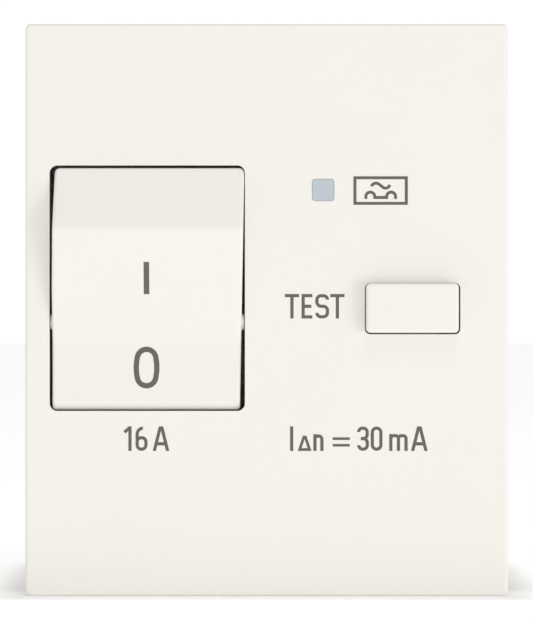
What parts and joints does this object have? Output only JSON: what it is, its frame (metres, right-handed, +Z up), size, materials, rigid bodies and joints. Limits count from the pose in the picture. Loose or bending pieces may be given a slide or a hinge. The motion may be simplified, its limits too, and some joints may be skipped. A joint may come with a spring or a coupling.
{
  "type": "residual current breaker",
  "caption": "Flush residual current breaker with a flat square-edged plate, a tilting rocker lever, a small oblong test button and a square indicator window.",
  "frame": {"origin": "middle of the seat plane, where the back of the plate's rim rests on the support frame", "axes": "+X to the right seen from the front, +Y back into the wall box, +Z up; the plate faces -Y"},
  "size_m": [0.0446, 0.0508, 0.0528],
  "materials": {
    "white_cover": "satin",
    "white_rocker": "satin",
    "white_button": "satin",
    "case_grey": "fine texture",
    "barrier_grey": "fine texture",
    "rivet_steel": "plated",
    "steel": "plated",
    "spring_steel": "drawn wire",
    "copper": "bare copper",
    "brass": "bare brass",
    "contact_silver": "satin silver",
    "dark_plastic": "moulded",
    "fibre": "vulcanised fibre",
    "enamel_copper": "enamelled wire",
    "ferrite": "coated core",
    "board_green": "solder mask",
    "chip_black": "moulded",
    "disc_blue": "dipped coating",
    "resistor_tan": "coated",
    "lens_clear": "frosted clear plastic",
    "lamp_red": "tinted resin"
  },
  "bodies": {
    "case": {"front_cover": "white_cover", "left_case_shell": "case_grey", "right_case_shell": "case_grey", "middle_wall": "barrier_grey", "case_rivets": "rivet_steel", "lever_pin": "steel", "carrier_pin": "steel", "trip_lever_pin": "steel", "transfer_pin": "steel", "opening_spring": "spring_steel", "line_fixed_contact": "copper", "neutral_fixed_contact": "copper", "arc_chute_frame": "fibre", "arc_chute_plates": "steel", "coil_bobbin": "dark_plastic", "trip_coil": "enamel_copper", "coil_yoke": "steel", "plunger_spring": "spring_steel", "bimetal_strip": "steel", "bimetal_bracket": "brass", "line_braid": "copper", "neutral_braid": "copper", "line_bar": "enamel_copper", "neutral_bar": "enamel_copper", "line_outlet_strip": "copper", "neutral_outlet_strip": "copper", "sensing_core": "ferrite", "sensing_winding": "enamel_copper", "sensor_cup": "dark_plastic", "relay_case": "dark_plastic", "test_button_spring": "spring_steel", "test_blade": "brass", "test_resistor": "resistor_tan", "circuit_board": "board_green", "board_parts": "chip_black", "surge_disc": "disc_blue", "indicator_lamp": "lamp_red", "indicator_lens": "lens_clear", "clamp_cages": "steel"},
    "rocker": {"rocker_lever": "white_rocker"},
    "link": {"toggle_link": "steel"},
    "contact_carriage": {"contact_carrier": "dark_plastic", "line_contact_arm": "contact_silver", "neutral_contact_arm": "contact_silver"},
    "plunger": {"trip_plunger": "steel"},
    "trip": {"trip_lever": "dark_plastic"},
    "relay_plunger": {"relay_pin": "brass"},
    "transfer": {"transfer_lever": "dark_plastic"},
    "button": {"test_button": "white_button"},
    "upper_left_clamp": {"upper_left_clamp_screw": "rivet_steel", "upper_left_clamp_plate": "steel"},
    "upper_right_clamp": {"upper_right_clamp_screw": "rivet_steel", "upper_right_clamp_plate": "steel"},
    "lower_left_clamp": {"lower_left_clamp_screw": "rivet_steel", "lower_left_clamp_plate": "steel"},
    "lower_right_clamp": {"lower_right_clamp_screw": "rivet_steel", "lower_right_clamp_plate": "steel"}
  },
  "joints": [
    {"name": "rocker_tilt", "type": "hinge", "parent": "case", "child": "rocker", "pos_m": [-0.01103, -0.0048, -0.00113], "axis": [-1, 0, 0], "range_deg": [0, 16]},
    {"name": "link_swing", "type": "hinge", "parent": "rocker", "child": "link", "pos_m": [-0.01103, 0.00391, 0.00009], "axis": [1, 0, 0], "range_deg": [0, 16]},
    {"name": "carrier_turn", "type": "hinge", "parent": "case", "child": "contact_carriage", "pos_m": [-0.01103, 0.01131, -0.01013], "axis": [1, 0, 0], "range_deg": [0, 18.77], "deforming": ["opening_spring", "line_braid", "neutral_braid"]},
    {"name": "plunger_slide", "type": "slide", "parent": "case", "child": "plunger", "axis": [0, -1, 0], "range_m": [0, 0.0015], "stiffness_N_per_m": 150, "deforming": ["plunger_spring"]},
    {"name": "trip_lever_turn", "type": "hinge", "parent": "case", "child": "trip", "pos_m": [-0.01103, 0.0176, 0.0049], "axis": [-1, 0, 0], "range_deg": [0, 16]},
    {"name": "relay_pin_slide", "type": "slide", "parent": "case", "child": "relay_plunger", "axis": [0, -1, 0], "range_m": [0, 0.0008]},
    {"name": "transfer_lever_turn", "type": "hinge", "parent": "case", "child": "transfer", "pos_m": [0.0024, 0.0148, 0.0073], "axis": [0, 0, -1], "range_deg": [0, 4.6]},
    {"name": "test_button_press", "type": "slide", "parent": "case", "child": "button", "axis": [0, 1, 0], "range_m": [0, 0.0014], "stiffness_N_per_m": 900, "deforming": ["test_button_spring", "test_blade"]},
    {"name": "upper_left_clamp_travel", "type": "slide", "parent": "case", "child": "upper_left_clamp", "axis": [0, 0, -1], "range_m": [0, 0.0022]},
    {"name": "upper_right_clamp_travel", "type": "slide", "parent": "case", "child": "upper_right_clamp", "axis": [0, 0, -1], "range_m": [0, 0.0022]},
    {"name": "lower_left_clamp_travel", "type": "slide", "parent": "case", "child": "lower_left_clamp", "axis": [0, 0, 1], "range_m": [0, 0.0022]},
    {"name": "lower_right_clamp_travel", "type": "slide", "parent": "case", "child": "lower_right_clamp", "axis": [0, 0, 1], "range_m": [0, 0.0022]}
  ],
  "couplings": [
    {"joint": "link_swing", "follows": "rocker_tilt", "ratio": 1},
    {"joint": "carrier_turn", "follows": "rocker_tilt", "ratio": 1.1731},
    {"joint": "trip_lever_turn", "follows": "plunger_slide", "rad_per_m": 185.19},
    {"joint": "transfer_lever_turn", "follows": "relay_pin_slide", "rad_per_m": 100}
  ]
}
